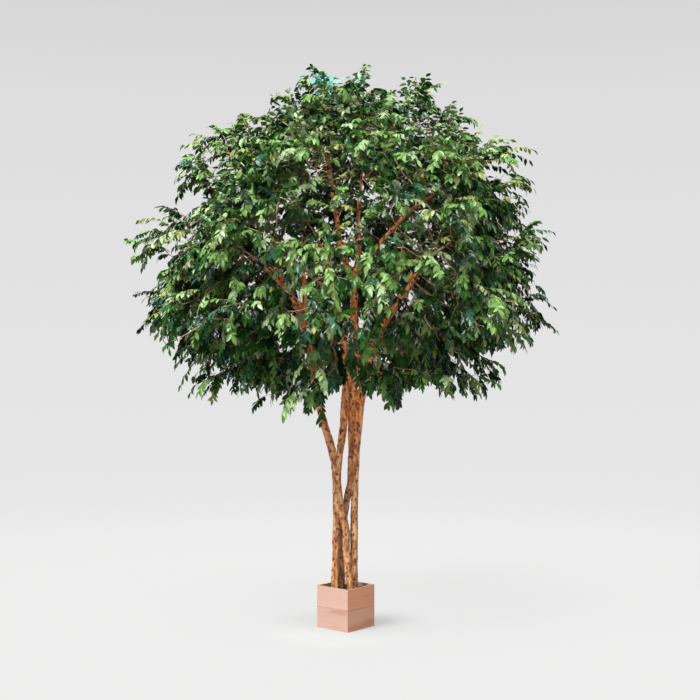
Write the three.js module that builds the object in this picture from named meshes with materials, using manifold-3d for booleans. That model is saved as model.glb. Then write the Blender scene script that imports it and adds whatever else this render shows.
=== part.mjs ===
// A five-metre artificial banyan tree in a square timber planter.
//
// Millimetres, +Z up. The origin is the middle of the planter's underside, and the planter's
// sides lie along X and Y. The tree has a frame of its own, turned in the planter about Z:
// in that frame -Y is the tree's front, and azimuths run from +X (its right) towards +Y (its back).
//
// Four bare poles stand side by side in the planter, cross and touch, and fork inside the crown.
// Boughs run from them through the open middle of the crown to masses of foliage round its outside.
import * as THREE from "three";
import { mergeVertices } from "three/addons/utils/BufferGeometryUtils.js";
import Module from "manifold-3d";

const wasm = await Module();
wasm.setup();

// ---- driving dimensions ----

const GAP = 0.4; // between solids that touch
const TREE_TURN = THREE.MathUtils.degToRad(41); // of the tree in its planter

const PLANTER_SIDE = 360;
const PLANTER_HEIGHT = 370;
const PLANTER_SIDES = ["front", "right", "back", "left"];
const PLANTER_COURSES = ["lower", "upper"]; // boards one above the other on each side
const BOARD_THICKNESS = 14;
const BOARD_JOINT = 1.5;
const FLOOR_THICKNESS = 16;
const FILL_TOP = PLANTER_HEIGHT - 42;

const LIMB_SIDES = 6;
const LIMB_STEPS_PER_KNOT = 1.5;
const LEAST_LIMB_STEPS = 4;
const MASS_DETAIL = 2; // subdivisions of an icosahedron

const SAME_POINT = 1e-3; // vertices closer than this are one
const CRUMB_VOLUME = 1e4; // of a scrap that a cut leaves, in cubic millimetres

// ---- colours, as three.js materials ----

const finish = (color, roughness) =>
  new THREE.MeshStandardMaterial({ color, roughness, metalness: 0 });
const CEDAR = finish(0xdcae94, 0.7);
const SOIL = finish(0x3a2618, 0.95);
const POLE = finish(0xb98a5c, 0.75);
const BOUGH = finish(0xa8643c, 0.75);
const FOLIAGE = finish(0x3f6a2c, 0.5);

// ---- solids ----

// A closed three.js geometry as a solid that can be joined and cut.
function solidOf(geometry) {
  const bare = geometry.clone();
  for (const name of ["normal", "uv"]) bare.deleteAttribute(name);
  const merged = mergeVertices(bare, SAME_POINT);
  return new wasm.Manifold(
    new wasm.Mesh({
      numProp: 3,
      vertProperties: new Float32Array(merged.attributes.position.array),
      triVerts: new Uint32Array(merged.index.array),
    }),
  );
}

function geometryOf(solid) {
  const { vertProperties, triVerts } = solid.getMesh();
  return new THREE.BufferGeometry()
    .setAttribute("position", new THREE.BufferAttribute(vertProperties, 3))
    .setIndex(new THREE.BufferAttribute(triVerts, 1));
}

function nodeOf(name, solid, material) {
  const node = new THREE.Mesh(geometryOf(solid), material);
  node.name = name;
  return node;
}

// What is left of a solid once the others are cut from it, without the crumbs that come off.
function cutBy(solid, others) {
  const left = others.reduce((rest, other) => rest.subtract(other), solid);
  const pieces = left.decompose();
  return pieces.reduce((a, b) => (a.volume() > b.volume() ? a : b));
}

// The piece of a cut limb that is nearest to its root.
function rootPiece(solid, others, root) {
  const left = others.reduce((rest, other) => rest.subtract(other), solid);
  const distance = (piece) => {
    const { min, max } = piece.boundingBox();
    const box = new THREE.Box3(new THREE.Vector3(...min), new THREE.Vector3(...max));
    return box.distanceToPoint(root);
  };
  return left
    .decompose()
    .filter((piece) => piece.volume() > CRUMB_VOLUME)
    .reduce((a, b) => (distance(a) <= distance(b) ? a : b));
}

// ---- planter ----

// One mitred board of the planter's side, drawn for the side at -Y.
function boardGeometry(height) {
  const outer = PLANTER_SIDE / 2;
  const inner = outer - BOARD_THICKNESS;
  const plan = new THREE.Shape([
    new THREE.Vector2(-outer + GAP, -outer),
    new THREE.Vector2(outer - GAP, -outer),
    new THREE.Vector2(inner - GAP, -inner),
    new THREE.Vector2(-inner + GAP, -inner),
  ]);
  return new THREE.ExtrudeGeometry(plan, { depth: height, bevelEnabled: false });
}

function planter() {
  const group = new THREE.Group();
  const step = PLANTER_HEIGHT / PLANTER_COURSES.length;
  PLANTER_COURSES.forEach((course, level) => {
    const joint = level < PLANTER_COURSES.length - 1 ? BOARD_JOINT : 0;
    PLANTER_SIDES.forEach((side, turn) => {
      const board = new THREE.Mesh(boardGeometry(step - joint), CEDAR);
      board.name = `planter_${course}_${side}`;
      board.position.z = level * step;
      board.rotation.z = (turn * Math.PI) / 2;
      group.add(board);
    });
  });

  const inside = PLANTER_SIDE - 2 * BOARD_THICKNESS - 2 * GAP;
  const floor = new THREE.Mesh(new THREE.BoxGeometry(inside, inside, FLOOR_THICKNESS), CEDAR);
  floor.name = "planter_floor";
  floor.position.z = FLOOR_THICKNESS / 2;
  const depth = FILL_TOP - FLOOR_THICKNESS - GAP;
  const fill = new THREE.Mesh(new THREE.BoxGeometry(inside, inside, depth), SOIL);
  fill.name = "planter_fill";
  fill.position.z = FILL_TOP - depth / 2;
  group.add(floor, fill);
  return group;
}

// ---- limbs ----

// A closed, round, tapering limb along a smooth curve through knots of [x, y, z, radius]:
// a cylinder whose rings are carried along the curve. It is thicker and longer by `extra`.
function limbGeometry(knots, extra = 0) {
  const steps = Math.max(LEAST_LIMB_STEPS, Math.ceil((knots.length - 1) * LIMB_STEPS_PER_KNOT));
  const curve = new THREE.CatmullRomCurve3(
    knots.map(([x, y, z]) => new THREE.Vector3(x, y, z)),
    false,
    "centripetal",
  );
  const radiusAt = (t) => {
    const place = t * (knots.length - 1);
    const before = Math.min(Math.floor(place), knots.length - 2);
    return THREE.MathUtils.lerp(knots[before][3], knots[before + 1][3], place - before) + extra;
  };

  const rings = [];
  let side = new THREE.Vector3(1, 0, 0);
  for (let i = 0; i <= steps; i++) {
    const t = i / steps;
    const along = curve.getTangent(t);
    side = side.clone().addScaledVector(along, -side.dot(along)).normalize();
    const across = along.clone().cross(side);
    const onward = i === 0 ? -extra : i === steps ? extra : 0;
    const centre = curve.getPoint(t).addScaledVector(along, onward);
    rings.push({ centre, side, across, radius: radiusAt(t) });
  }

  const geometry = new THREE.CylinderGeometry(1, 1, steps, LIMB_SIDES, steps);
  const at = geometry.attributes.position;
  for (let i = 0; i < at.count; i++) {
    const ring = rings[Math.round(at.getY(i) + steps / 2)];
    const place = ring.centre
      .clone()
      .addScaledVector(ring.side, at.getZ(i) * ring.radius)
      .addScaledVector(ring.across, at.getX(i) * ring.radius);
    at.setXYZ(i, place.x, place.y, place.z);
  }
  return geometry;
}

// The four poles, from the planter's fill to where they fork in the crown, and what grows on
// from them. Each knot is [x, y, z, radius] in the tree's frame.
const UNDER_FILL = FILL_TOP - 30; // poles are drawn from lower, and cut off flat at the fill
const POLES = {
  pole_left: [
    [-96, -8, UNDER_FILL, 37],
    [-84, -6, 850, 35],
    [-80, -4, 1180, 37],
    [-97, -8, 1460, 38],
  ],
  pole_back: [
    [-46, 44, UNDER_FILL, 34],
    [-26, 40, 700, 32],
    [-20, 36, 880, 33],
    [-8, 30, 1030, 33],
    [48, 17, 1320, 34],
    [54, 12, 1740, 38],
    [60, 10, 2010, 40],
    [80, 0, 2450, 38],
    [72, 0, 2890, 35],
    [58, 0, 3090, 33],
  ],
  pole_crossing: [
    [48, -52, UNDER_FILL, 31],
    [7, -48, 640, 33],
    [2, -46, 860, 36],
    [-56, -50, 1120, 33],
    [-72, -50, 1370, 30],
    [-22, -30, 1740, 34],
    [-8, -26, 1960, 39],
    [2, -20, 2120, 36],
  ],
  pole_right: [
    [74, -10, UNDER_FILL, 34],
    [73, -12, 700, 35],
    [76, -14, 1000, 35],
    [86, -20, 1450, 35],
    [103, -22, 1750, 41],
    [128, -20, 1980, 43],
    [150, -16, 2110, 40],
  ],
};
const LEADERS = {
  leader_left: [
    [-97, -8, 1462, 38],
    [-145, -20, 1643, 36],
    [-222, -40, 1910, 33],
    [-325, -60, 2450, 29],
    [-372, -70, 3120, 22],
  ],
  leader_crossing: [
    [2, -20, 2122, 36],
    [-6, 60, 2420, 30],
    [-80, 160, 2850, 26],
    [-250, 230, 3430, 20],
  ],
  leader_right: [
    [150, -16, 2112, 40],
    [222, 0, 2380, 34],
    [350, 10, 2700, 29],
    [560, 20, 3000, 24],
    [690, 30, 3220, 19],
  ],
  leader_centre_left: [
    [50, 0, 3093, 30],
    [-40, -20, 3330, 27],
    [-70, -30, 3560, 22],
    [-130, -30, 3900, 15],
    [-140, -20, 4200, 10],
  ],
  leader_centre_right: [
    [80, 4, 3093, 26],
    [118, 30, 3350, 23],
    [108, 60, 3620, 19],
    [150, 90, 4100, 12],
  ],
};

// The main boughs: each leaves a pole or leader at `from`, and climbs in a shallow arc towards
// `azimuth` as far as `reach` from the tree's middle, at the height `tip`.
const BOUGHS = [
  { name: "bough_low_left", from: [-262, -47, 2130], azimuth: 178, reach: 900, tip: 2450 },
  { name: "bough_low_right", from: [160, -14, 2150], azimuth: 0, reach: 1000, tip: 2520 },
  { name: "bough_low_front", from: [10, -20, 2150], azimuth: -100, reach: 900, tip: 2500 },
  { name: "bough_low_back", from: [64, 10, 2140], azimuth: 82, reach: 900, tip: 2500 },
  { name: "bough_left", from: [-352, -64, 2790], azimuth: 186, reach: 1300, tip: 3520 },
  { name: "bough_front_left", from: [-330, -62, 2500], azimuth: -122, reach: 1200, tip: 3200 },
  { name: "bough_front_right", from: [380, 12, 2740], azimuth: -48, reach: 1200, tip: 3300 },
  { name: "bough_back_right", from: [330, 8, 2640], azimuth: 44, reach: 1200, tip: 3300 },
  { name: "bough_back_left", from: [-90, 166, 2900], azimuth: 128, reach: 1250, tip: 3350 },
  { name: "bough_high_right", from: [90, 4, 3130], azimuth: -4, reach: 1000, tip: 3950 },
];
const BOUGH_ROOT_RADIUS = 22;
const BOUGH_TIP_RADIUS = 12;
const BOUGH_ARCH = 0.1; // of its length

function boughKnots({ from, azimuth, reach, tip }) {
  const turn = THREE.MathUtils.degToRad(azimuth);
  const root = new THREE.Vector3(...from);
  const end = new THREE.Vector3(reach * Math.cos(turn), reach * Math.sin(turn), tip);
  const arch = BOUGH_ARCH * root.distanceTo(end);
  return [0, 0.5, 1].map((t) => {
    const place = root.clone().lerp(end, t);
    const lift = arch * 4 * t * (1 - t);
    const radius = THREE.MathUtils.lerp(BOUGH_ROOT_RADIUS, BOUGH_TIP_RADIUS, t);
    return [place.x, place.y, place.z + lift, radius];
  });
}

// ---- masses of foliage ----

// Tiers of masses from the bottom of the crown to its top. A tier's masses stand round the tree
// at equal steps from azimuth `first`. Its half sizes are outward, across and up. `reach` and
// `lift` are each mass's own furthest distance from the middle and the height of its centre.
const TIERS = [
  {
    name: "skirt",
    first: 0,
    half: [470, 450, 300],
    droop: 110,
    reach: [1360, 1300, 1260, 1440, 1300, 1280],
    lift: [2440, 2380, 2340, 2320, 2280, 2340],
  },
  {
    name: "low",
    first: 10,
    half: [500, 560, 350],
    droop: 130,
    reach: [1880, 1800, 1800, 1900, 1800, 1760, 1800],
    lift: [2850, 2900, 2900, 2870, 2860, 2900, 2860],
  },
  {
    name: "middle",
    first: -14,
    half: [520, 560, 350],
    droop: 130,
    reach: [1770, 1800, 1760, 1830, 1830, 1740, 1780],
    lift: [3470, 3450, 3500, 3450, 3440, 3440, 3450],
  },
  {
    name: "upper",
    first: 4,
    half: [490, 570, 330],
    droop: 130,
    reach: [1660, 1560, 1520, 1520, 1460, 1480],
    lift: [4030, 4020, 4040, 4150, 3990, 3990],
  },
  {
    name: "top",
    first: -12,
    half: [400, 450, 300],
    droop: 110,
    reach: [1040, 960, 1080, 900],
    lift: [4490, 4480, 4460, 4440],
  },
  {
    name: "crest",
    first: 180,
    half: [430, 430, 230],
    droop: 60,
    reach: [480],
    lift: [4755],
  },
];
const UNEVEN = 0.13; // of a mass's size, in and out
const WAVE_RATES = [3, 4.6, 6.2]; // radians of each wave across a mass's radius

// A repeatable random number from 0 to 1 for the k-th draw of a seed.
function share(seed, k) {
  const scattered = Math.sin(seed * 12.9898 + k * 78.233) * 43758.5453;
  return scattered - Math.floor(scattered);
}

// A mass's own smooth unevenness, between about -1 and 1, by the direction from its middle.
function waves(seed) {
  const count = WAVE_RATES.length;
  const all = WAVE_RATES.map((rate, k) => ({
    way: new THREE.Vector3(
      share(seed, k) - 0.5,
      share(seed, k + count) - 0.5,
      share(seed, k + 2 * count) - 0.5,
    ).setLength(rate),
    phase: share(seed, k + 3 * count) * 2 * Math.PI,
  }));
  const sum = (direction) =>
    all.reduce((total, { way, phase }) => total + Math.sin(way.dot(direction) + phase), 0);
  return (direction) => sum(direction) / (count - 0.8);
}

// One lumpy mass: a sphere of facets stretched to its half sizes, with its outer end hanging.
function massGeometry({ half, droop, azimuth, reach, lift, seed }, extra = 0) {
  const geometry = new THREE.IcosahedronGeometry(1, MASS_DETAIL);
  const wave = waves(seed);
  const at = geometry.attributes.position;
  const direction = new THREE.Vector3();
  for (let i = 0; i < at.count; i++) {
    direction.fromBufferAttribute(at, i).normalize();
    const swell = 1 + UNEVEN * wave(direction);
    const outward = direction.x * (half[0] * swell + extra);
    const hang = droop * Math.max(0, direction.x) ** 2;
    at.setXYZ(
      i,
      outward,
      direction.y * (half[1] * swell + extra),
      direction.z * (half[2] * swell + extra) - hang,
    );
  }
  geometry.translate(reach - half[0], 0, lift);
  geometry.rotateZ(THREE.MathUtils.degToRad(azimuth));
  return geometry;
}

function massPlans() {
  return TIERS.flatMap(({ name, first, half, droop, reach, lift }, tier) =>
    reach.map((outer, i) => ({
      name: reach.length > 1 ? `foliage_${name}_${i + 1}` : `foliage_${name}`,
      azimuth: first + (360 * i) / reach.length,
      half,
      droop,
      reach: outer,
      lift: lift[i],
      seed: 10 * tier + i + 1,
    })),
  );
}

// ---- tree ----

function tree() {
  const group = new THREE.Group();
  const below = new THREE.BoxGeometry(PLANTER_SIDE, PLANTER_SIDE, PLANTER_HEIGHT);
  below.translate(0, 0, FILL_TOP + GAP - PLANTER_HEIGHT / 2);
  const cutters = [solidOf(below)]; // what later limbs are cut by
  const wood = []; // the poles alone, which the masses are cut round

  for (const [name, knots] of Object.entries(POLES)) {
    group.add(nodeOf(name, cutBy(solidOf(limbGeometry(knots)), cutters), POLE));
    const round = solidOf(limbGeometry(knots, GAP));
    cutters.push(round);
    wood.push(round);
  }

  const masses = [];
  for (const plan of massPlans()) {
    const solid = cutBy(solidOf(massGeometry(plan)), [...wood, ...masses]);
    group.add(nodeOf(plan.name, solid, FOLIAGE));
    masses.push(solidOf(massGeometry(plan, GAP)));
  }

  const branches = [
    ...Object.entries(LEADERS),
    ...BOUGHS.map((bough) => [bough.name, boughKnots(bough)]),
  ];
  for (const [name, knots] of branches) {
    const root = new THREE.Vector3(...knots[0]);
    const solid = rootPiece(solidOf(limbGeometry(knots)), [...cutters, ...masses], root);
    group.add(nodeOf(name, solid, BOUGH));
    cutters.push(solidOf(limbGeometry(knots, GAP)));
  }
  group.rotation.z = TREE_TURN;
  return group;
}

const banyan = new THREE.Group();
banyan.add(planter(), tree());
export default banyan;
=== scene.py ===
"""An artificial banyan tree, five metres tall, in a square cedar planter.

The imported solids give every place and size. A twig network grows from the ends of the boughs
through the foliage masses by space colonisation, sprays of leaves grow on the network, and a
mesh with the relief of bark stands for the poles, leaders and boughs.
"""

import math

import bmesh
import bpy
import numpy as np
from mathutils import Matrix, Vector, noise
from mathutils.bvhtree import BVHTree
from mathutils.kdtree import KDTree


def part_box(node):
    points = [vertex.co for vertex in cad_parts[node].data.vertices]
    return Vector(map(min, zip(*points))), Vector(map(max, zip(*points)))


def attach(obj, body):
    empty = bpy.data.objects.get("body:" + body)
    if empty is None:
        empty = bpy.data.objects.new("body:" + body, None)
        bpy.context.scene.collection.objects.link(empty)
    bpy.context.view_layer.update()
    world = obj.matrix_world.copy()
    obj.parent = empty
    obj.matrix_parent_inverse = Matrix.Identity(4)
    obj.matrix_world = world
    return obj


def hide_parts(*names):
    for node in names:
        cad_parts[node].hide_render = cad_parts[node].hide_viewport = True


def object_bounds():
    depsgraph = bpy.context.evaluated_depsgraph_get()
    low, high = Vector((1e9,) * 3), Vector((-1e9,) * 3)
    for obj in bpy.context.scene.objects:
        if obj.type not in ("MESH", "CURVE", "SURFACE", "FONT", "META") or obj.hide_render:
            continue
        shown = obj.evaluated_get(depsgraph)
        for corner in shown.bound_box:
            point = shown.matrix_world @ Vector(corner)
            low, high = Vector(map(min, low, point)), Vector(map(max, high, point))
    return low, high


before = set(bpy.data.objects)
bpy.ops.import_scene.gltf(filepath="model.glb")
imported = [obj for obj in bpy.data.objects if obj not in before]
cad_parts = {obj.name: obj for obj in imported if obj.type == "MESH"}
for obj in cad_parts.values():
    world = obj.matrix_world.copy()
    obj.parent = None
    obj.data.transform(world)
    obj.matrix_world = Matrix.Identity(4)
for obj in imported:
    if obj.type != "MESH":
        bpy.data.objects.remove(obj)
cad_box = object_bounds()

BODY = "root"
UP = np.array([0.0, 0.0, 1.0])

# ---- where the tree is looked at from ----

VIEW_TURN = math.radians(41)  # of the tree's front in its planter
VIEW_DISTANCE = 10.91
VIEW_HEIGHT = 2.45
VIEW_ASIDE = 0.037
LENS = 63.3  # mm, on a 36 mm sensor

# ---- the crown: its twig network ----

SEED = 41
TARGETS_PER_CUBIC_METRE = 470
FILLED_SHARE = 0.5  # of a mass's box that the mass fills
LEAST_DEPTH = 0.08  # of a target under its mass's surface
SHELL = 0.20  # depth under a mass's surface that holds most of the targets
SHELL_SHARE = 0.75  # of the targets
BETWEEN = 0.16  # targets lie this far outside a mass, where the crown is closed round it
CLOSED = 0.26  # depth inside the whole crown's outline at which it counts as closed
RAGGED = 0.20  # how much further in the sprays end where the crown's outline is notched
RAGGED_SCALE = 3.4  # of the noise that notches it
CLUMP_SCALE = 3.9  # of the noise that gathers the sprays into clumps
CLUMP_LEAST = -0.06  # where that noise is lower, nothing grows
LIMB_SLICES = 7  # across each limb, to find its middle line
SLICE_REACH = 1.1  # of the gap between slices
STEP = 0.075  # of the growing network
REACH = 1.1  # a target draws the network from this far
ARRIVE = 0.11  # a target is met at this distance
CROWDED = 0.4  # of a step: a shoot this near to its sibling isn't grown
ROUNDS = 90
SAG = 0.10  # of each step, under the twigs' own weight
TIP_RADIUS = 0.0020
PIPE_POWER = 0.46  # a twig's radius grows with the tips it carries, to this power
TWIG_SIDES = ((0.0080, 7), (0.0045, 5), (0.0025, 4))  # on twigs thicker than each radius
TWIG_BROWN = (0.44, 0.245, 0.125)

# Thin places of the crown in the tree's own frame: middle, radii, and the share of twigs there.
# The first is the front, where the boughs show, and the rest are notches in the outline.
OPENINGS = (
    ((0.02, -1.0, 3.15), (0.85, 1.2, 0.88), 0.13),
    ((-1.28, 0.0, 3.79), (0.20, 2.4, 0.12), 0.0),
    ((-1.52, 0.0, 3.24), (0.24, 2.2, 0.07), 0.0),
    ((-1.02, 0.0, 4.56), (0.10, 2.0, 0.11), 0.0),
    ((1.28, 0.0, 4.03), (0.13, 2.0, 0.13), 0.0),
    ((0.66, 0.0, 2.08), (0.22, 2.4, 0.17), 0.0),
)
# Limbs that show from the front: the height from which each does, and half the width of the
# strip before it where the crown is thin.
SHOWN_LIMBS = {
    "pole_back": (2.32, 0.10),
    "leader_left": (2.65, 0.07),
    "leader_right": (2.75, 0.07),
    "leader_centre_left": (3.15, 0.07),
    "leader_centre_right": (3.20, 0.05),
    "bough_left": (2.85, 0.05),
    "bough_high_right": (3.30, 0.04),
}
SHOWN_SHARE = 0.06  # of the twigs that grow in those strips

# ---- the crown: its sprays of leaves ----

CROWN_MIDDLE = np.array([0.0, 0.0, 3.0])  # the sprays point away from here
ONWARD = 0.8  # how much a spray also keeps the way to its target
SPRAY_LENGTH = (0.20, 0.40)
SPRAY_STEPS = 4
SPRAY_WANDER = (0.55, 0.35)  # random part of a spray's way at its foot and at its tip
SPRAY_LIFT = 0.10
SPRAY_HANG = (0.55, 1.30)
HANG_LESS = 0.55  # share by which a spray that points straight up hangs less
SPRAY_RADII = np.array([0.0017, 0.0013, 0.0007])
SPRAY_SIDES = 3
SPRAY_BARE = (0.0, 0.32)  # share of a spray's length before its first leaf
SPRAY_CUTS = (1.0, 0.8, 0.6, 0.45)  # a spray is shortened until it stays near its mass
STANDS_PROUD = (-0.08, 0.17)  # how far the tip of a spray may reach out of its mass
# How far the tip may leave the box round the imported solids; below zero it stays inside.
BOX_SPARE = (0.012, 0.012, -0.09)
LEAVES_PER_SPRAY = (12, 17)
FIRST_LEAF = 0.7  # of the gap between leaves, before the first
LEAF_LENGTH = (0.050, 0.080)
LEAF_WIDTH = 0.46  # of its length
WIDTH_SPREAD = (0.85, 1.12)
LEAF_ONWARD = (0.50, 0.90)  # parts of a leaf's way: along the spray, aside, down and random
LEAF_ASIDE = (0.60, 1.00)
LEAF_DROOP = (0.25, 0.90)
LEAF_WANDER = 0.24
LEAF_ROLL = 0.45
LEAF_CURL = (0.02, 0.26)
SMALL_FIRST = (0.25, 0.85)  # leaves on this first share of a spray are smaller, by this
LEAF_GLOSS = 0.17

# Leaf tints as base colour, roughness, and share of the sprays high and low in the crown. The low
# shares favour the darker tints, as painted shade under the crown, and the darkest tint is made
# near black, partly as painted shade for the depths between the leaves.
TINTS = {
    "leaf_deep": ((0.010, 0.048, 0.004), 0.30, 0.26, 0.31),
    "leaf_mid": ((0.086, 0.170, 0.038), 0.32, 0.29, 0.23),
    "leaf_fresh": ((0.168, 0.244, 0.110), 0.34, 0.19, 0.12),
    "leaf_blue": ((0.015, 0.060, 0.030), 0.28, 0.09, 0.11),
    "leaf_olive": ((0.155, 0.185, 0.055), 0.36, 0.06, 0.04),
    "leaf_dark_and_painted_shade": ((0.003, 0.016, 0.004), 0.28, 0.12, 0.24),
}
# The two lower rings, whose sprays are dealt darker tints as painted shade.
SHADED_LOW_MASSES = ("foliage_skirt", "foliage_low")  # the two lower rings
# Two small tufts on the top: tint, colour, and the place of their tips in the tree's own frame.
TUFTS = (
    ("leaf_teal", (0.120, 0.360, 0.290), (-0.15, 0.0, 4.86), (0.19, 0.45, 0.12)),
    ("leaf_pale", (0.130, 0.320, 0.140), (0.06, 0.0, 4.86), (0.10, 0.35, 0.10)),
)
TUFT_ROUGHNESS = 0.36


def turned(point):
    """A point of the tree's own frame, whose -Y is its front, in the frame of the solids."""
    return Matrix.Rotation(VIEW_TURN, 3, "Z") @ Vector(point)


def turned_back(point):
    """A point of the solids' frame in the tree's own frame."""
    return Matrix.Rotation(-VIEW_TURN, 3, "Z") @ Vector(point)


# ---- mesh helpers ----


def mesh_piece(name, verts, faces, materials, face_materials=None):
    """A smooth mesh object from arrays. Faces are a list of arrays, each with its own corners."""
    mesh = bpy.data.meshes.new(name)
    mesh.vertices.add(len(verts))
    mesh.vertices.foreach_set("co", np.asarray(verts, np.float32).ravel())
    corners = np.concatenate([group.ravel() for group in faces]).astype(np.int32)
    counts = np.concatenate([np.full(len(group), group.shape[1]) for group in faces])
    starts = np.concatenate([[0], np.cumsum(counts)[:-1]]).astype(np.int32)
    mesh.loops.add(len(corners))
    mesh.loops.foreach_set("vertex_index", corners)
    mesh.polygons.add(len(counts))
    mesh.polygons.foreach_set("loop_start", starts)
    mesh.polygons.foreach_set("use_smooth", np.full(len(counts), True))
    for material in materials:
        mesh.materials.append(material)
    if face_materials is not None:
        mesh.polygons.foreach_set("material_index", np.asarray(face_materials, np.int32))
    mesh.update(calc_edges=True)
    mesh.validate()
    piece = bpy.data.objects.new(name, mesh)
    bpy.context.scene.collection.objects.link(piece)
    return piece


def mount(piece, slot, *nodes):
    """The piece rides on the tree's one body, in place of CAD nodes."""
    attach(piece, BODY)
    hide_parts(*nodes)


def unit(vectors):
    """Rows scaled to length 1."""
    lengths = np.linalg.norm(vectors, axis=-1, keepdims=True)
    return vectors / np.maximum(lengths, 1e-9)


def perpendicular(vectors, guide):
    """Rows of unit vectors square to `vectors`, on the side of `guide`."""
    across = guide - vectors * np.sum(guide * vectors, axis=-1, keepdims=True)
    short = np.linalg.norm(across, axis=-1) < 1e-4
    across[short] = np.cross(vectors[short], np.array([0.3, 0.9, 0.1]))
    return unit(across)


# ---- materials ----


def principled(name, color, roughness, **inputs):
    """A material and its Principled node, with plain values."""
    material = bpy.data.materials.new(name)
    material.use_nodes = True
    shader = material.node_tree.nodes["Principled BSDF"]
    shader.inputs["Base Color"].default_value = (*color, 1)
    shader.inputs["Roughness"].default_value = roughness
    for key, value in inputs.items():
        shader.inputs[key.replace("_", " ")].default_value = value
    return material, shader


class Nodes:
    """Short forms for the nodes of one material or world."""

    def __init__(self, owner):
        self.tree = owner.node_tree

    def add(self, kind, links=None, **settings):
        """A node with settings, its inputs linked or set by name or number."""
        node = self.tree.nodes.new("ShaderNode" + kind)
        for key, value in settings.items():
            setattr(node, key, value)
        for key, value in (links or {}).items():
            if isinstance(value, bpy.types.NodeSocket):
                self.tree.links.new(value, node.inputs[key])
            else:
                node.inputs[key].default_value = value
        return node

    def place(self, scale=(1, 1, 1)):
        """Object coordinates, stretched."""
        where = self.add("TexCoord").outputs["Object"]
        return self.add("Mapping", {"Vector": where, "Scale": scale}).outputs["Vector"]

    def noise(self, vector, scale, detail=3.0, roughness=0.55):
        """Noise from 0 to 1."""
        links = {"Vector": vector, "Scale": scale, "Detail": detail, "Roughness": roughness}
        return self.add("TexNoise", links).outputs["Fac"]

    def ramp(self, value, stops):
        """A colour ramp of (position, colour)."""
        node = self.add("ValToRGB", {"Fac": value})
        elements = node.color_ramp.elements
        while len(elements) < len(stops):
            elements.new(0.5)
        for element, (position, color) in zip(elements, stops):
            element.position = position
            element.color = (*color, 1)
        return node.outputs["Color"]

    def mix(self, factor, a, b):
        """One colour over another."""
        node = self.add("Mix", data_type="RGBA")
        sockets = (node.inputs[0], node.inputs[6], node.inputs[7])
        for socket, value in zip(sockets, (factor, a, b)):
            if isinstance(value, bpy.types.NodeSocket):
                self.tree.links.new(value, socket)
            else:
                socket.default_value = value if isinstance(value, float) else (*value, 1)
        return node.outputs[2]

    def math(self, operation, a, b=0.0):
        """Arithmetic on values."""
        return self.add("Math", {0: a, 1: b}, operation=operation).outputs[0]

    def band(self, value, low, high):
        """0 below low, 1 above high."""
        node = self.add("MapRange", {"Value": value, "From Min": low, "From Max": high})
        return node.outputs["Result"]

    def bump(self, shader, height, strength, distance):
        """Relief too fine for the mesh."""
        links = {"Height": height, "Strength": strength, "Distance": distance}
        normal = self.add("Bump", links).outputs["Normal"]
        self.tree.links.new(normal, shader.inputs["Normal"])

    def use(self, socket, shader, name):
        """Feeds a shader's input."""
        self.tree.links.new(socket, shader.inputs[name])


# Colours of the bark at the foot and high in the crown, from pale to dark. High in the crown the
# bark is more rust-coloured, and it is also paler there, as painted light that offsets the crown's
# shade on the boughs.
BARK_LOW = ((0.54, 0.312, 0.140), (0.39, 0.178, 0.054), (0.25, 0.085, 0.023))
BARK_HIGH_RUST_AND_LIGHT = ((0.90, 0.395, 0.130), (0.82, 0.270, 0.058), (0.52, 0.126, 0.026))
BARK_STOPS = (0.60, 0.50, 0.40)  # of the mottling, for each tone
BARK_TURNS = (1.2, 2.4)  # heights between which one gives way to the other
BARK_RUST = (0.170, 0.036, 0.010)
BARK_DARK = (0.040, 0.011, 0.006)


def bark_material(name):
    """Thin smooth bark, mottled along the limb, freckled, with knots where the mesh has them."""
    material, shader = principled(name, BARK_LOW[1], 0.6)
    nodes = Nodes(material)
    mottle = nodes.noise(nodes.place((1, 1, 0.34)), 30, 4)
    low, high = (
        nodes.ramp(mottle, sorted(zip(BARK_STOPS, tones))) for tones in (BARK_LOW, BARK_HIGH_RUST_AND_LIGHT)
    )
    height = nodes.add("SeparateXYZ", {0: nodes.place()}).outputs["Z"]
    # Towards the high colours with height: partly the bark's own rust, partly painted light against
    # the crown's shade.
    color = nodes.mix(nodes.band(height, *BARK_TURNS), low, high)
    fibres = nodes.noise(nodes.place((1, 1, 0.07)), 150, 3)
    color = nodes.mix(nodes.math("MULTIPLY", nodes.band(fibres, 0.56, 0.74), 0.4), color, BARK_RUST)
    cells = nodes.add("TexVoronoi", {"Vector": nodes.place((1, 1, 0.7)), "Scale": 34})
    freckles = nodes.band(cells.outputs["Distance"], 0.46, 0.30)
    patchy = nodes.band(nodes.noise(nodes.place(), 19, 2), 0.42, 0.50)
    color = nodes.mix(nodes.math("MULTIPLY", freckles, patchy), color, BARK_RUST)
    knots = nodes.add("Attribute", attribute_name="knot").outputs["Fac"]
    color = nodes.mix(nodes.band(knots, 0.06, 0.35), color, BARK_RUST)
    color = nodes.mix(nodes.band(knots, 0.45, 0.85), color, BARK_DARK)
    nodes.use(color, shader, "Base Color")
    rough = nodes.math("ADD", nodes.math("MULTIPLY", mottle, 0.25), 0.42)
    nodes.use(rough, shader, "Roughness")
    nodes.bump(shader, nodes.math("ADD", fibres, mottle), 0.5, 0.003)
    return material


# The pale ground of the wood, its warm bands and its streaks.
CEDAR = ((0.56, 0.345, 0.270), (0.50, 0.265, 0.175), (0.40, 0.160, 0.085))
# Tone of the boards along X and along Y, the lower and the upper ones. It is partly painted light
# and shade: the boards along X, on the lit side, are toned down, and those along Y, on the shaded
# side, are warmer.
CEDAR_TONE_AND_SIDE_LIGHT = {
    "lower": ((0.63, 0.65, 0.66), (0.81, 0.69, 0.57)),
    "upper": ((0.68, 0.72, 0.73), (0.88, 0.63, 0.42)),
}


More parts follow.
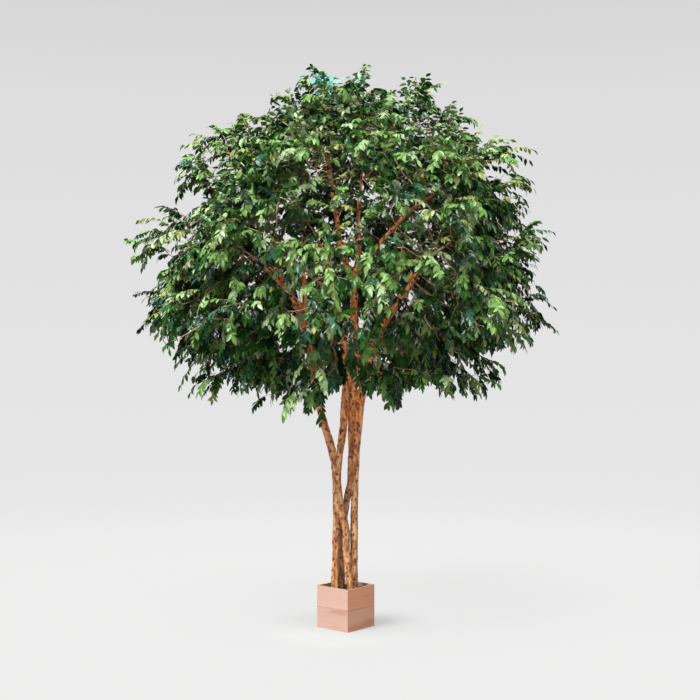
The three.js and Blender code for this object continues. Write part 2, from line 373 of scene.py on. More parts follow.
def cedar_material(name, along, tone_and_side_light):
    """Pale pink cedar whose grain runs along one axis: growth rings, streaks and blotches, toned
    for its side partly as painted light and shade.
    """
    material, shader = principled(name, CEDAR[0], 0.5)
    nodes = Nodes(material)
    stretch = [1.0, 1.0, 1.0]
    stretch[along] = 0.09
    warp = nodes.noise(nodes.place(stretch), 6, 2)
    wave = {"Scale": 14, "Distortion": 7, "Detail": 2, "Detail Scale": 1.4}
    wave["Vector"] = nodes.place(stretch)
    rings = nodes.add("TexWave", wave, wave_type="BANDS", bands_direction="Z").outputs["Fac"]
    # Every colour of the wood is scaled by the board's tone, which is partly painted light and
    # shade for the lit and the shaded sides.
    pale, warm, streak = ([c * t for c, t in zip(wood, tone_and_side_light)] for wood in CEDAR)
    color = nodes.mix(nodes.math("MULTIPLY", rings, 0.35), pale, warm)
    color = nodes.mix(nodes.math("MULTIPLY", nodes.band(warp, 0.50, 0.75), 0.6), color, warm)
    fine = nodes.noise(nodes.place([s if s < 1 else 3.0 for s in stretch]), 60, 3)
    color = nodes.mix(nodes.math("MULTIPLY", nodes.band(fine, 0.55, 0.75), 0.35), color, streak)
    blots = nodes.noise(nodes.place([s * 3 if s < 1 else 1.0 for s in stretch]), 9, 2)
    color = nodes.mix(nodes.math("MULTIPLY", nodes.band(blots, 0.58, 0.70), 0.55), color, streak)
    nodes.use(color, shader, "Base Color")
    nodes.use(nodes.math("ADD", nodes.math("MULTIPLY", fine, 0.2), 0.42), shader, "Roughness")
    nodes.bump(shader, nodes.math("ADD", fine, rings), 0.25, 0.0008)
    return material


CHIP_TONES = (
    (0.35, (0.022, 0.011, 0.006)),
    (0.55, (0.075, 0.036, 0.018)),
    (0.75, (0.170, 0.085, 0.040)),
)


def chip_material():
    """Dark bark chips."""
    material, shader = principled("bark_chips", CHIP_TONES[1][1], 0.9)
    nodes = Nodes(material)
    patches = nodes.noise(nodes.place(), 60, 3)
    nodes.use(nodes.ramp(patches, CHIP_TONES), shader, "Base Color")
    nodes.bump(shader, nodes.noise(nodes.place(), 220, 3), 0.6, 0.002)
    return material


# ---- planter ----

BOARD_EDGE = 0.0016
BOARD_CUTS = 5
BOARD_UNEVEN = 0.0005
BOARD_UNEVEN_SCALE = 9
FILL_ROWS = 33
FILL_WAVES = ((0.008, 24), (0.004, 70))  # height and scale of the bed's unevenness
CHIP_COUNT = 420
CHIP_SIZE = (0.007, 0.019)
CHIP_LIFT = (0.002, 0.012)  # over the bed
CHIP_TILT = 0.35
CHIP_NARROW = 0.55
CHIP_HALF = 0.0016  # of a chip's thickness
CHIP_TAPER = 60  # a chip's upper side is smaller, by this for each metre of its height
CHIP_SIDES = 6


def soften(mesh):
    """Bevels the mesh's edges, then cuts the long ones so that they can be a little uneven."""
    shape = bmesh.new()
    shape.from_mesh(mesh)
    bmesh.ops.remove_doubles(shape, verts=shape.verts, dist=1e-5)
    flat = math.radians(2)
    bmesh.ops.dissolve_limit(shape, angle_limit=flat, verts=shape.verts, edges=shape.edges)
    bmesh.ops.bevel(
        shape, geom=shape.edges, offset=BOARD_EDGE, segments=2, profile=0.6, affect="EDGES"
    )
    long_edges = [e for e in shape.edges if e.calc_length() > 0.1]
    bmesh.ops.subdivide_edges(shape, edges=long_edges, cuts=BOARD_CUTS, use_grid_fill=True)
    bmesh.ops.triangulate(shape, faces=[f for f in shape.faces if len(f.verts) > 4])
    shape.to_mesh(mesh)
    shape.free()


def planter():
    """The boards with softened edges, grained along their length, and the fill of bark chips."""
    # Each side of the planter gets its own copy of the wood, toned partly as painted light and
    # shade for that side.
    woods = {
        (level, along): cedar_material(f"cedar_{level}_{'xy'[along]}", along, tones[along])
        for level, tones in CEDAR_TONE_AND_SIDE_LIGHT.items()
        for along in (0, 1)
    }
    for name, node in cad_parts.items():
        if not name.startswith("planter_") or name == "planter_fill":
            continue
        low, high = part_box(name)
        along = 0 if high.x - low.x > high.y - low.y else 1
        wood = woods["upper" if "upper" in name else "lower", along]
        if name == "planter_floor":
            node.data.materials.clear()
            node.data.materials.append(wood)
            continue
        mesh = node.data.copy()
        mesh.materials.clear()
        mesh.materials.append(wood)
        board = bpy.data.objects.new(name.replace("planter", "board"), mesh)
        bpy.context.scene.collection.objects.link(board)
        soften(mesh)
        for vertex in mesh.vertices:
            uneven = noise.noise(vertex.co * BOARD_UNEVEN_SCALE)
            vertex.co += vertex.normal * BOARD_UNEVEN * uneven
        mesh.polygons.foreach_set("use_smooth", [False] * len(mesh.polygons))
        mount(board, "cedar", name)
    fill(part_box("planter_fill"))


def fill(box):
    """An uneven bed with loose flakes of bark on it."""
    low, high = (np.array(corner) for corner in box)
    rng = np.random.default_rng(SEED + 1)
    xs = np.linspace(low[0], high[0], FILL_ROWS)
    ys = np.linspace(low[1], high[1], FILL_ROWS)
    bed = np.array([[x, y, high[2]] for y in ys for x in xs])
    for point in bed:
        for height, scale in FILL_WAVES:
            point[2] += height * noise.noise(Vector((point[0], point[1], high[2])) * scale)
    index = np.arange(FILL_ROWS * FILL_ROWS).reshape(FILL_ROWS, FILL_ROWS)
    quads = np.stack([index[:-1, :-1], index[:-1, 1:], index[1:, 1:], index[1:, :-1]], -1)
    rim = np.concatenate([index[0], index[1:, -1], index[-1, -2::-1], index[-2:0:-1, 0]])
    skirt = bed[rim].copy()
    skirt[:, 2] = low[2]
    below = len(bed) + np.arange(len(rim))
    walls = np.stack([rim, below, np.roll(below, -1), np.roll(rim, -1)], -1)
    verts, sides, caps = [bed, skirt], [quads.reshape(-1, 4), walls], []
    base = len(bed) + len(rim)
    for _ in range(CHIP_COUNT):
        verts.extend(chip_rings(low, high, rng))
        under = base + np.arange(CHIP_SIDES)
        over = under + CHIP_SIDES
        sides.append(np.stack([under, np.roll(under, -1), np.roll(over, -1), over], -1))
        caps.append(np.array([under[::-1], over]))
        base += 2 * CHIP_SIDES
    faces = [np.concatenate(sides), np.concatenate(caps)]
    piece = mesh_piece("bark_chip_fill", np.concatenate(verts), faces, [chip_material()])
    mount(piece, "fill", "planter_fill")


def chip_rings(low, high, rng):
    """The lower and the upper outline of one flake, somewhere on the bed."""
    size = rng.uniform(*CHIP_SIZE)
    middle = rng.uniform(low + size, high - size)
    middle[2] = high[2] + rng.uniform(*CHIP_LIFT)
    spin = Matrix.Rotation(rng.uniform(0, 6.28), 3, "Z")
    turn = spin @ Matrix.Rotation(rng.normal(0, CHIP_TILT), 3, "X")
    angles = np.arange(CHIP_SIDES) * 2 * math.pi / CHIP_SIDES
    radii = size * rng.uniform(0.6, 1.0, CHIP_SIDES)
    outline = [radii * np.cos(angles), CHIP_NARROW * radii * np.sin(angles), 0 * angles]
    ring = np.stack(outline, -1)
    return [
        (ring * (1 - CHIP_TAPER * max(z, 0)) + [0, 0, z]) @ np.array(turn).T + middle
        for z in (-CHIP_HALF, CHIP_HALF)
    ]


# ---- poles and boughs ----

BARK_VOXEL = 0.0065  # of the skin that is fused round the limbs
SMOOTHING_ROUNDS = 10
SMOOTHING_STEPS = (0.6, -0.62)  # a step in, then a slightly longer step out, keeps the thickness
# Heights of the relief: lumps, flutes along the limb, fibres and grain.
LUMP, FLUTE, FIBRE, GRAIN = 0.0042, 0.0022, 0.0011, 0.0009
KNOTS_PER_SQUARE_METRE = 210
KNOT_SIZE = (0.007, 0.017)
KNOT_RIM, KNOT_PIT = 0.16, 0.24  # of its size: the height of its ring and the depth of its pit


def neighbour_mean(mesh, values):
    """Each vertex's mean of its neighbours' values."""
    edges = np.empty(len(mesh.edges) * 2, np.int32)
    mesh.edges.foreach_get("vertices", edges)
    edges = edges.reshape(-1, 2)
    count = np.bincount(edges.ravel(), minlength=len(mesh.vertices)).astype(float)
    total = np.zeros_like(values)
    for axis in range(values.shape[1]):
        for here, there in ((0, 1), (1, 0)):
            neighbours = values[edges[:, there], axis]
            total[:, axis] += np.bincount(edges[:, here], neighbours, len(values))
    return total / np.maximum(count, 1)[:, None]


def coordinates(mesh):
    """A mesh's vertices as an array."""
    points = np.empty(len(mesh.vertices) * 3, np.float32)
    mesh.vertices.foreach_get("co", points)
    return points.reshape(-1, 3).astype(float)


def normals(mesh):
    """A mesh's vertex normals as an array."""
    ways = np.empty(len(mesh.vertices) * 3, np.float32)
    mesh.vertex_normals.foreach_get("vector", ways)
    return ways.reshape(-1, 3).astype(float)


def fused(names):
    """One remeshed skin round several CAD nodes, with its facets rounded off."""
    bones = bmesh.new()
    for node in names:
        bones.from_mesh(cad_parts[node].data)
    mesh = bpy.data.meshes.new("skin")
    bones.to_mesh(mesh)
    bones.free()
    piece = bpy.data.objects.new("skin", mesh)
    bpy.context.scene.collection.objects.link(piece)
    remesh = piece.modifiers.new("skin", "REMESH")
    remesh.mode = "VOXEL"
    remesh.voxel_size = BARK_VOXEL
    shown = piece.evaluated_get(bpy.context.evaluated_depsgraph_get())
    piece.data = bpy.data.meshes.new_from_object(shown)
    piece.modifiers.clear()
    mesh = piece.data
    points = coordinates(mesh)
    for amount in SMOOTHING_STEPS * SMOOTHING_ROUNDS:
        points += amount * (neighbour_mean(mesh, points) - points)
    mesh.vertices.foreach_set("co", points.astype(np.float32).ravel())
    mesh.update()
    return piece


def relief_at(point):
    """The height of the bark's relief, apart from knots."""
    tall = Vector((point.x, point.y, point.z * 0.16))
    return (
        LUMP * noise.noise(Vector((point.x * 9, point.y * 9, point.z * 5)))
        + FLUTE * noise.noise(tall * 62)
        + FIBRE * noise.noise(tall * 150)
        + GRAIN * noise.noise(point * 95)
    )


def bark_relief(piece, rng):
    """Unevenness along the limb, and knots: a raised ring round a dark pit."""
    mesh = piece.data
    points = coordinates(mesh)
    outward = normals(mesh)
    relief = np.array([relief_at(Vector(point)) for point in points])
    tree = tree_of(points)
    mask = np.zeros(len(points))
    area = sum(face.area for face in mesh.polygons)
    for spot in rng.choice(len(points), int(KNOTS_PER_SQUARE_METRE * area)):
        size = rng.uniform(*KNOT_SIZE)
        for _, i, distance in tree.find_range(points[spot], 2.2 * size):
            rim = math.exp(-(((distance - 1.1 * size) / (0.5 * size)) ** 2))
            pit = math.exp(-((distance / (0.7 * size)) ** 2))
            relief[i] += KNOT_RIM * size * rim - KNOT_PIT * size * pit
            mask[i] = max(mask[i], pit)
    points += outward * relief[:, None]
    mesh.vertices.foreach_set("co", points.astype(np.float32).ravel())
    attribute = mesh.attributes.new("knot", "FLOAT", "POINT")
    attribute.data.foreach_set("value", mask.astype(np.float32))
    mesh.polygons.foreach_set("use_smooth", [True] * len(mesh.polygons))
    mesh.update()


def gaps_to(names, points):
    """Each point's distance to the nearest of several CAD nodes."""
    surfaces = [surface_of(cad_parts[name]) for name in names]
    return np.array([min(s.find_nearest(Vector(p))[3] for s in surfaces) for p in points])


def limbs():
    """One skin over all the limbs, shared out to a piece for the poles and one for the rest."""
    rng = np.random.default_rng(SEED + 2)
    poles = [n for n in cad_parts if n.startswith("pole")]
    others = [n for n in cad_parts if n.startswith(("leader", "bough"))]
    skin = fused(poles + others)
    bark_relief(skin, rng)
    mesh = skin.data
    points, outward = coordinates(mesh), normals(mesh)
    knots = np.empty(len(points), np.float32)
    mesh.attributes["knot"].data.foreach_get("value", knots)
    quads = np.array([face.vertices for face in mesh.polygons])
    middles = points[quads].mean(1)
    on_poles = gaps_to(poles, middles) <= gaps_to(others, middles)
    for names, name, slot, mine in (
        (poles, "bark_of_poles", "pole_bark", on_poles),
        (others, "bark_of_boughs", "bough_bark", ~on_poles),
    ):
        used, faces = np.unique(quads[mine], return_inverse=True)
        piece = mesh_piece(name, points[used], [faces.reshape(-1, 4)], [bark_material(slot)])
        attribute = piece.data.attributes.new("knot", "FLOAT", "POINT")
        attribute.data.foreach_set("value", knots[used])
        piece.data.normals_split_custom_set_from_vertices(outward[used].tolist())
        mount(piece, slot, *names)
    bpy.data.objects.remove(skin)


# ---- the twig network ----


def surface_of(node):
    """A search tree over a CAD node's faces."""
    mesh = node.data
    mesh.calc_loop_triangles()
    triangles = [tuple(t.vertices) for t in mesh.loop_triangles]
    return BVHTree.FromPolygons([v.co.copy() for v in mesh.vertices], triangles)


def depth_inside(surface, point):
    """How far a point is under a closed surface, negative outside it."""
    place, normal, _, distance = surface.find_nearest(point)
    return distance if (point - place).dot(normal) < 0 else -distance


def outline_of(masses):
    """A search tree over the convex hull of all the masses."""
    hull = bmesh.new()
    for name in masses:
        hull.from_mesh(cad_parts[name].data)
    result = bmesh.ops.convex_hull(hull, input=hull.verts)
    faces = [g for g in result["geom"] if isinstance(g, bmesh.types.BMFace)]
    corners = [v.co.copy() for face in faces for v in face.verts]
    triangles = [(3 * i, 3 * i + 1, 3 * i + 2) for i in range(len(faces))]
    middle = sum(corners, Vector()) / len(corners)
    for i, (a, b, c) in enumerate(triangles):
        normal = (corners[b] - corners[a]).cross(corners[c] - corners[a])
        if normal.dot(corners[a] - middle) < 0:
            triangles[i] = (a, c, b)
    hull.free()
    return BVHTree.FromPolygons(corners, triangles)


def within(point, middle, radii):
    """Whether a point is in an ellipsoid given in the tree's own frame."""
    offset = turned_back(Vector(point) - turned(middle))
    return sum((o / r) ** 2 for o, r in zip(offset, radii)) < 1


def tree_of(places):
    """A search tree over points."""
    tree = KDTree(len(places))
    for i, place in enumerate(places):
        tree.insert(place, i)
    tree.balance()
    return tree


def finer(line):
    """Ten points for each step of a line."""
    shares = np.linspace(0, 1, 10, endpoint=False)
    return [a + share * (b - a) for a, b in zip(line, line[1:]) for share in shares]


class Front:
    """The strips in front of the limbs that show."""

    def __init__(self):
        self.depths, self.widths, places = [], [], []
        for name, (lowest, width) in SHOWN_LIMBS.items():
            for point in finer(limb_line(name)):
                if point[2] > lowest:
                    place, depth = self.seen(point)
                    places.append(place)
                    self.depths.append(depth)
                    self.widths.append(width)
        self.tree = tree_of(places)

    def seen(self, point):
        """Where a point shows from the front, across and up, and how far back it is."""
        x, y, z = turned_back(point)
        nearness = VIEW_DISTANCE / (VIEW_DISTANCE + y)
        return Vector((x, 0, z - VIEW_HEIGHT)) * nearness, y

    def hides_limb(self, point):
        """Whether leaves at a point would hide a limb."""
        place, depth = self.seen(point)
        near = self.tree.find_range(place, max(self.widths))
        return any(depth < self.depths[i] and gap < self.widths[i] for _, i, gap in near)


def share_grown(point, front):
    """The share of the twigs that grow at a point: 1 outside the crown's thin places."""
    shares = [share for middle, radii, share in OPENINGS if within(point, middle, radii)]
    if front.hides_limb(point):
        shares.append(SHOWN_SHARE)
    return min(shares, default=1)


def in_box(point):
    """Whether a spray may end at a point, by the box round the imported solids."""
    sides = zip(cad_box[0], point, cad_box[1], BOX_SPARE)
    return all(low - spare < place < high + spare for low, place, high, spare in sides)


def targets(masses, outline, front, rng):
    """Points for the network to grow to, most of them just inside the masses' surfaces."""
    places, owners = [], []
    for owner, name in enumerate(masses):
        surface = surface_of(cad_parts[name])
        low, high = (np.array(corner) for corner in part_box(name))
        size = high - low
        wanted = int(FILLED_SHARE * np.prod(size) * TARGETS_PER_CUBIC_METRE)
        found = 0
        while found < wanted:
            point = Vector(rng.uniform(low - BETWEEN / 2, high + BETWEEN / 2))
            depth = depth_inside(surface, point)
            least = LEAST_DEPTH + RAGGED * noise.noise(point * RAGGED_SCALE)
            if depth_inside(outline, point) > CLOSED:
                least = -BETWEEN
            outer = rng.random() < SHELL_SHARE
            if noise.noise(point * CLUMP_SCALE) < CLUMP_LEAST:
                continue
            if not in_box(point) or rng.random() > share_grown(point, front):
                continue
            if depth > least and (depth < SHELL) == outer:
                places.append(point)
                owners.append(owner)
                found += 1
    return np.array(places), np.array(owners)


def limb_line(name):
    """Points along the middle of a CAD limb, found from the slices of its vertices."""
    points = coordinates(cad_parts[name].data)
    centre = points.mean(0)
    _, _, ways = np.linalg.svd(points - centre, full_matrices=False)
    along = (points - centre) @ ways[0]
    marks = np.linspace(along.min(), along.max(), LIMB_SLICES)
    reach = (marks[1] - marks[0]) * SLICE_REACH
    slices = [points[np.abs(along - mark) < reach] for mark in marks]
    return np.array([part.mean(0) for part in slices if len(part)])


def grow(places, starts):
    """Space colonisation: every target draws its nearest node of the network a step closer."""
    nodes = np.array(starts)
    parents = np.full(len(nodes), -1)
    children = {}
    nearest = np.full(len(places), np.inf)
    closest = np.zeros(len(places), int)
    waiting = np.ones(len(places), bool)
    met = np.full(len(places), -1)
    first = 0
    for _ in range(ROUNDS):
        gaps = np.linalg.norm(places[:, None] - nodes[None, first:], axis=2)
        best = gaps.argmin(axis=1)
        closer = gaps[np.arange(len(places)), best] < nearest
        nearest[closer] = gaps[closer, best[closer]]
        closest[closer] = first + best[closer]
        arrived = waiting & (nearest < ARRIVE)
        met[arrived] = closest[arrived]
        waiting &= ~arrived
        drawn = waiting & (nearest < REACH)
        if not drawn.any():
            break
        growing, inverse = np.unique(closest[drawn], return_inverse=True)
        ways = places[drawn] - nodes[closest[drawn]]
        pulls = np.zeros((len(growing), 3))
        np.add.at(pulls, inverse, unit(ways) / nearest[drawn][:, None])
        shoots = nodes[growing] + STEP * unit(unit(pulls) - SAG * UP)
        fresh = []
        for i, (parent, shoot) in enumerate(zip(growing, shoots)):
            siblings = children.setdefault(int(parent), [])
            if all(np.linalg.norm(shoot - other) > CROWDED * STEP for other in siblings):
                siblings.append(shoot)
                fresh.append(i)
        if not fresh:
            break
        first = len(nodes)
        nodes = np.concatenate([nodes, shoots[fresh]])
        parents = np.concatenate([parents, growing[fresh]])
    return nodes, parents, met


def thickness(parents, starts):
    """Each node's radius from the number of tips beyond it."""
    tips = np.zeros(len(parents))
    children = np.bincount(parents[parents >= 0], minlength=len(parents))
    tips[children == 0] = 1
    for i in range(len(parents) - 1, starts - 1, -1):
        if parents[i] >= 0:
            tips[parents[i]] += tips[i]
    return TIP_RADIUS * np.maximum(tips, 1) ** PIPE_POWER


class Tubes:
    """Closed tapering tubes gathered into one mesh."""

    def __init__(self):
        self.verts = []
        self.quads = []
        self.fans = []
        self.count = 0

    def add(self, line, radii, sides):
        """One tube along a line of points, closed at both ends by a flat cap."""
        line = np.asarray(line)
        ways = unit(np.gradient(line, axis=0))
        across = perpendicular(ways, np.tile([0.31, 0.17, 0.9], (len(line), 1)))
        other = np.cross(ways, across)
        angles = np.arange(sides) * 2 * math.pi / sides
        cosines = np.cos(angles)[None, :, None]
        sines = np.sin(angles)[None, :, None]
        round_line = cosines * across[:, None] + sines * other[:, None]
        rings = line[:, None] + radii[:, None, None] * round_line
        rows = len(line)
        self.verts.append(rings.reshape(-1, 3))
        self.verts.append(line[[0, -1]])
        index = self.count + np.arange(rows * sides).reshape(rows, sides)
        around = np.roll(index, -1, axis=1)
        quads = np.stack([index[:-1], around[:-1], around[1:], index[1:]], -1)
        self.quads.append(quads.reshape(-1, 4))
        root, tip = self.count + rows * sides, self.count + rows * sides + 1
        self.fans.append(np.stack([around[0], index[0], np.full(sides, root)], -1))
        self.fans.append(np.stack([index[-1], around[-1], np.full(sides, tip)], -1))
        self.count += rows * sides + 2

    def piece(self, name, material):
        """The tubes as one object."""
        faces = [np.concatenate(self.quads), np.concatenate(self.fans)]
        return mesh_piece(name, np.concatenate(self.verts), faces, [material])


def sides_for(radius):
    """More sides on a thicker twig."""
    return next((sides for least, sides in TWIG_SIDES if radius > least), 3)


def branch_paths(parents, radii, starts):
    """The network as paths: each follows its thickest child to a tip."""
    children = [[] for _ in parents]
    for i, parent in enumerate(parents):
        if parent >= 0:
            children[parent].append(i)
    paths = []
    waiting = [(s, c) for s in range(starts) for c in children[s]]
    while waiting:
        path = list(waiting.pop())
        while children[path[-1]]:
            onward = sorted(children[path[-1]], key=lambda c: -radii[c])
            waiting.extend((path[-1], c) for c in onward[1:])
            path.append(onward[0])
        paths.append(path)
    return paths


# ---- leaves ----

# A leaf of length 1 lying along +X: a midrib of three points, and three points down each edge,
# where the blade is folded up from the midrib and its tip hangs.
RIB = [0.0, 0.48, 1.0]
EDGES = [(0.13, 0.30), (0.40, 0.50), (0.74, 0.33)]
FOLD = 0.22  # height of the blade's edge over the midrib, by its distance from it
RIGHT_HALF = [(0, 3, 1), (3, 4, 1), (4, 5, 1), (5, 2, 1)]
LEFT_HALF = [(6, 0, 1), (7, 6, 1), (8, 7, 1), (2, 8, 1)]


def leaf_template():
    """Vertices with unit length and width, and the triangles of both halves."""
    rib = [(x, 0.0, 0.0) for x in RIB]
    sides = [[(x, s * y, FOLD * y) for x, y in EDGES] for s in (1, -1)]
    return np.array(rib + sides[0] + sides[1]), np.array(RIGHT_HALF + LEFT_HALF)


def leaf_mesh(bases, ways, faces_up, lengths, curls, rng):
    """All the leaves of one mass, as arrays of vertices and triangles."""
    template, triangles = leaf_template()
    across = np.cross(faces_up, ways)
    widths = LEAF_WIDTH * lengths * rng.uniform(*WIDTH_SPREAD, len(lengths))
    along, aside, over = (column[None] for column in template.T)
    x = along * lengths[:, None]
    y = aside * widths[:, None]
    z = over * widths[:, None] - curls[:, None] * along**2 * lengths[:, None]
    verts = (
        bases[:, None]
        + x[..., None] * ways[:, None]
        + y[..., None] * across[:, None]
        + z[..., None] * faces_up[:, None]
    )
    offsets = len(template) * np.arange(len(lengths))
    faces = triangles[None] + offsets[:, None, None]
    return verts.reshape(-1, 3), faces.reshape(-1, 3)


def sprays(roots, outward, surface, outline, front, rng):
    """Twigs that leave their roots outward and hang, as arrays (spray, point, xyz)."""
    count = len(roots)
    random_ways = unit(rng.normal(size=(count, 3)))
    first = unit(outward + SPRAY_WANDER[0] * random_ways + SPRAY_LIFT * UP)
    hang = rng.uniform(*SPRAY_HANG, (count, 1)) * (1 - HANG_LESS * np.maximum(outward[:, 2:], 0))
    last = unit(outward * (1 - SPRAY_WANDER[1]) + SPRAY_WANDER[1] * random_ways - hang * UP)
    lengths = rng.uniform(*SPRAY_LENGTH, count)
    points = [np.zeros((count, 3))]
    for k in range(SPRAY_STEPS):
        share = (k + 0.5) / SPRAY_STEPS
        way = unit(first * (1 - share) + last * share)
        points.append(points[-1] + way * (lengths / SPRAY_STEPS)[:, None])
    lines = np.stack(points, axis=1)
    proud = rng.uniform(*STANDS_PROUD, count)
    for i, root in enumerate(roots):
        cut = SPRAY_CUTS[-1]
        for share in SPRAY_CUTS:
            tip = Vector(root + share * lines[i, -1])
            held = depth_inside(surface, tip) > -proud[i] or depth_inside(outline, tip) > CLOSED
            if held and in_box(tip) and share_grown(tip, front) > SHOWN_SHARE:
                cut = share
                break
        lines[i] = root + cut * lines[i]
    return lines


def leaves_on(lines, rng):
    """Leaves alternately down each spray: base, way, upper side, length, curl and spray number."""
    bases, ways, ups, lengths, curls, numbers = [], [], [], [], [], []
    for number, line in enumerate(lines):
        count = rng.integers(LEAVES_PER_SPRAY[0], LEAVES_PER_SPRAY[1] + 1)
        bare = rng.uniform(*SPRAY_BARE)
        share = bare + (1 - bare) * (np.arange(count) + FIRST_LEAF) / count
        share[-1] = 1.0  # the last leaf ends the spray and points on along it
        place = share * (len(line) - 1)
        before = np.minimum(place.astype(int), len(line) - 2)
        base = line[before] + (line[before + 1] - line[before]) * (place - before)[:, None]
        along = unit(line[before + 1] - line[before])
        level = perpendicular(along, np.tile(UP, (count, 1)))
        side = np.cross(along, level) * np.where(np.arange(count) % 2, 1.0, -1.0)[:, None]
        side[-1] *= 0.1
        way = unit(
            along * rng.uniform(*LEAF_ONWARD, (count, 1))
            + side * rng.uniform(*LEAF_ASIDE, (count, 1))
            + rng.normal(0, LEAF_WANDER, (count, 3))
            - UP * rng.uniform(*LEAF_DROOP, (count, 1))
        )
        up = perpendicular(way, level + rng.normal(0, LEAF_ROLL, (count, 3)))
        bases.append(base)
        ways.append(way)
        ups.append(up)
        smaller = np.where(share < SMALL_FIRST[0], SMALL_FIRST[1], 1.0)
        lengths.append(rng.uniform(*LEAF_LENGTH, count) * smaller)
        curls.append(rng.uniform(*LEAF_CURL, count))
        numbers.append(np.full(count, number))
    return [np.concatenate(part) for part in (bases, ways, ups, lengths, curls, numbers)]


def leaf_materials():
    """One plain glossy green for each tint, with those of the top's tufts last."""
    rows = [(name, color, rough) for name, (color, rough, _, _) in TINTS.items()]
    rows.extend((name, color, TUFT_ROUGHNESS) for name, color, _, _ in TUFTS)
    gloss = {"Specular_IOR_Level": LEAF_GLOSS}
    return [principled(name, color, rough, **gloss)[0] for name, color, rough in rows]


def tints_of(name, lines, rng):
    """A tint for each spray of one mass, by number; the lower rings are dealt darker tints, as
    painted shade.
    """
    shares = np.array([tint[2:] for tint in TINTS.values()])[:, int(name.startswith(SHADED_LOW_MASSES))]
    dealt = rng.choice(len(shares), len(lines), p=shares / shares.sum())
    for number, (_, _, middle, radii) in enumerate(TUFTS):
        tufted = [within(line[-1], middle, radii) for line in lines]
        dealt[tufted] = len(TINTS) + number
    return dealt


def twig_tubes(nodes, parents, starts, owners, count):
    """The network's twigs, gathered for each mass by the owner of their middle."""
    radii = thickness(parents, starts)
    twigs = [Tubes() for _ in range(count)]
    for path in branch_paths(parents, radii, starts):
        width = radii[path]
        width[0] = width[1]
        owner = owners[path[len(path) // 2]]
        twigs[owner].add(nodes[path], width, sides_for(width[0]))
    return twigs


def crown():
    """The twig network with its sprays and leaves, as two pieces for each foliage mass."""
    rng = np.random.default_rng(SEED)
    masses = sorted(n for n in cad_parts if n.startswith("foliage"))
    outline = outline_of(masses)
    front = Front()
    places, owners = targets(masses, outline, front, rng)
    limbs_in_crown = [n for n in sorted(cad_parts) if n.startswith(("leader", "bough"))]
    starts = np.concatenate([limb_line(name)[1:] for name in limbs_in_crown])
    nodes, parents, met = grow(places, starts)
    tree = tree_of(places)
    nearest = owners[[tree.find(node)[1] for node in nodes]]
    twigs = twig_tubes(nodes, parents, len(starts), nearest, len(masses))

    twig_bark = principled("twig_bark", TWIG_BROWN, 0.6)[0]
    greens = leaf_materials()
    for owner, name in enumerate(masses):
        # A spray starts where each target was met, and reaches on to it.
        mine = np.flatnonzero((owners == owner) & (met >= 0))
        roots = nodes[met[mine]]
        onward = unit(places[mine] - roots)
        outward = unit(unit(places[mine] - CROWN_MIDDLE) + ONWARD * onward)
        lines = sprays(roots, outward, surface_of(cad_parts[name]), outline, front, rng)
        for line in lines:
            twigs[owner].add(line[::2], SPRAY_RADII, SPRAY_SIDES)
        tints = tints_of(name, lines, rng)
        *blades, numbers = leaves_on(lines, rng)
        verts, faces = leaf_mesh(*blades, rng)
        tint_of_face = np.repeat(tints[numbers], len(faces) // len(numbers))
        leaves = name.replace("foliage", "leaves")
        mount(mesh_piece(leaves, verts, [faces], greens, tint_of_face), "foliage", name)
        wood = twigs[owner].piece(name.replace("foliage", "twigs"), twig_bark)
        mount(wood, "bough_bark", name)


# ---- stage ----

FLOOR_RADIUS = 60.0
FLOOR_SIDES = 64
FLOOR_FADE = (3.2, 11.0)  # the floor fades into the background between these distances
FLOOR_RINGS = 24
FLOOR_GREY = 0.35
FLOOR_GLOW = (0.840, 0.840, 0.836, 1)
# The floor glows, as painted light that keeps the crown's shadow faint, and it glows less by the
# planter, which paints a soft shadow round the planter's foot. Its share of the floor's light by
# the planter and further off, and the distances between which it grows.
FLOOR_GLOW_SHARES = (0.55, 0.95)
FLOOR_GLOW_REACH = (0.28, 0.90)
BACKDROP_REACH = (-0.22, 0.30)  # heights of the view direction that the greys below span
BACKDROP_GREYS = (
    (0.04, 0.86),
    (0.14, 0.815),
    (0.27, 0.79),
    (0.65, 0.75),
    (0.81, 0.725),
    (0.95, 0.67),
)
# The lamps: place in the tree's own frame, width in degrees, and strength.
LAMPS = {
    "key": ((-6.5, -5.5, 8.0), 20, 5.5),
    "top": ((-1.5, -3.5, 9.0), 22, 6.3),
    "fill": ((5.0, -6.5, 4.0), 60, 0.6),
}


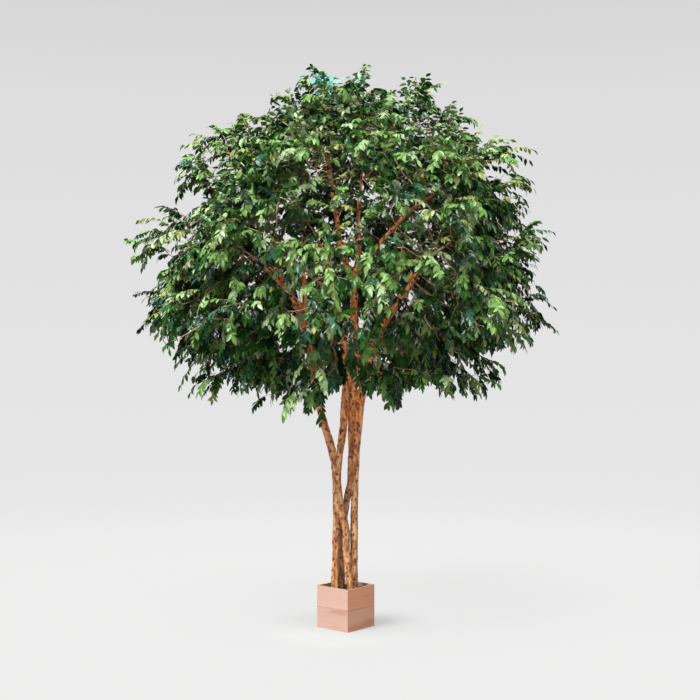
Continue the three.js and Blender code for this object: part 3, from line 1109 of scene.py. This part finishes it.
def floor():
    """A pale round floor that fades into the background far from the tree."""
    radii = np.linspace(0, 1, FLOOR_RINGS) ** 2 * FLOOR_RADIUS
    angles = np.arange(FLOOR_SIDES) * 2 * math.pi / FLOOR_SIDES
    verts = [(r * math.cos(a), r * math.sin(a), 0.0) for r in radii[1:] for a in angles]
    verts.append((0, 0, 0))
    index = np.arange((FLOOR_RINGS - 1) * FLOOR_SIDES).reshape(-1, FLOOR_SIDES)
    around = np.roll(index, -1, axis=1)
    quads = np.stack([index[:-1], index[1:], around[1:], around[:-1]], -1).reshape(-1, 4)
    middle = np.stack([index[0], around[0], np.full(FLOOR_SIDES, len(verts) - 1)], -1)
    material, shader = principled("floor", (FLOOR_GREY,) * 3, 0.6, Specular_IOR_Level=0.1)
    nodes = Nodes(material)
    length = nodes.add("VectorMath", {0: nodes.place()}, operation="LENGTH").outputs["Value"]
    fading = {"Value": length, "From Min": FLOOR_FADE[0], "From Max": FLOOR_FADE[1]}
    fade = nodes.add("MapRange", fading, interpolation_type="SMOOTHSTEP").outputs["Result"]
    glow = nodes.add("Emission", {"Color": FLOOR_GLOW}).outputs[0]
    near, far = FLOOR_GLOW_REACH
    least, most = FLOOR_GLOW_SHARES
    # Painted light: the glow's share of the floor, lower near the planter, where that leaves a
    # painted shadow.
    glowing = {"Value": length, "From Min": near, "From Max": far, "To Min": least, "To Max": most}
    share = nodes.add("MapRange", glowing, interpolation_type="SMOOTHSTEP").outputs["Result"]
    soft = nodes.add("MixShader", {0: share, 1: shader.outputs[0], 2: glow}).outputs[0]
    clear = nodes.add("BsdfTransparent").outputs[0]
    mixed = nodes.add("MixShader", {0: fade, 1: soft, 2: clear}).outputs[0]
    output = material.node_tree.nodes["Material Output"]
    material.node_tree.links.new(mixed, output.inputs["Surface"])
    ground = mesh_piece("floor", verts, [quads, middle], [material])


def backdrop():
    """A world that is light below the horizon and a little darker above it."""
    world = bpy.data.worlds.new("studio")
    world.use_nodes = True
    bpy.context.scene.world = world
    nodes = Nodes(world)
    way = nodes.add("TexCoord").outputs["Generated"]
    height = nodes.add("SeparateXYZ", {0: way}).outputs["Z"]
    greys = [(position, (grey, grey, grey)) for position, grey in BACKDROP_GREYS]
    color = nodes.ramp(nodes.band(height, *BACKDROP_REACH), greys)
    nodes.use(color, world.node_tree.nodes["Background"], "Color")


def sky_light(name, place, degrees, strength):
    """Even light from a wide patch of the studio's ceiling, in the direction of a place."""
    lamp = bpy.data.lights.new(name, "SUN")
    lamp.angle = math.radians(degrees)
    lamp.energy = strength
    holder = bpy.data.objects.new(name, lamp)
    bpy.context.scene.collection.objects.link(holder)
    holder.location = turned(place)
    holder.rotation_euler = (-holder.location).to_track_quat("-Z", "Y").to_euler()


def camera():
    """A level camera in front of the tree."""
    lens = bpy.data.cameras.new("camera")
    lens.lens = LENS
    lens.clip_end = 200
    holder = bpy.data.objects.new("camera", lens)
    bpy.context.scene.collection.objects.link(holder)
    holder.location = turned((VIEW_ASIDE, -VIEW_DISTANCE, VIEW_HEIGHT))
    holder.rotation_euler = (math.pi / 2, 0, VIEW_TURN)
    bpy.context.scene.camera = holder


def studio():
    """Camera, floor, background and lamps."""
    camera()
    floor()
    backdrop()
    for name, (place, degrees, strength) in LAMPS.items():
        sky_light(name, place, degrees, strength)
    bpy.context.scene.view_settings.view_transform = "Standard"


studio()
planter()
limbs()
crown()
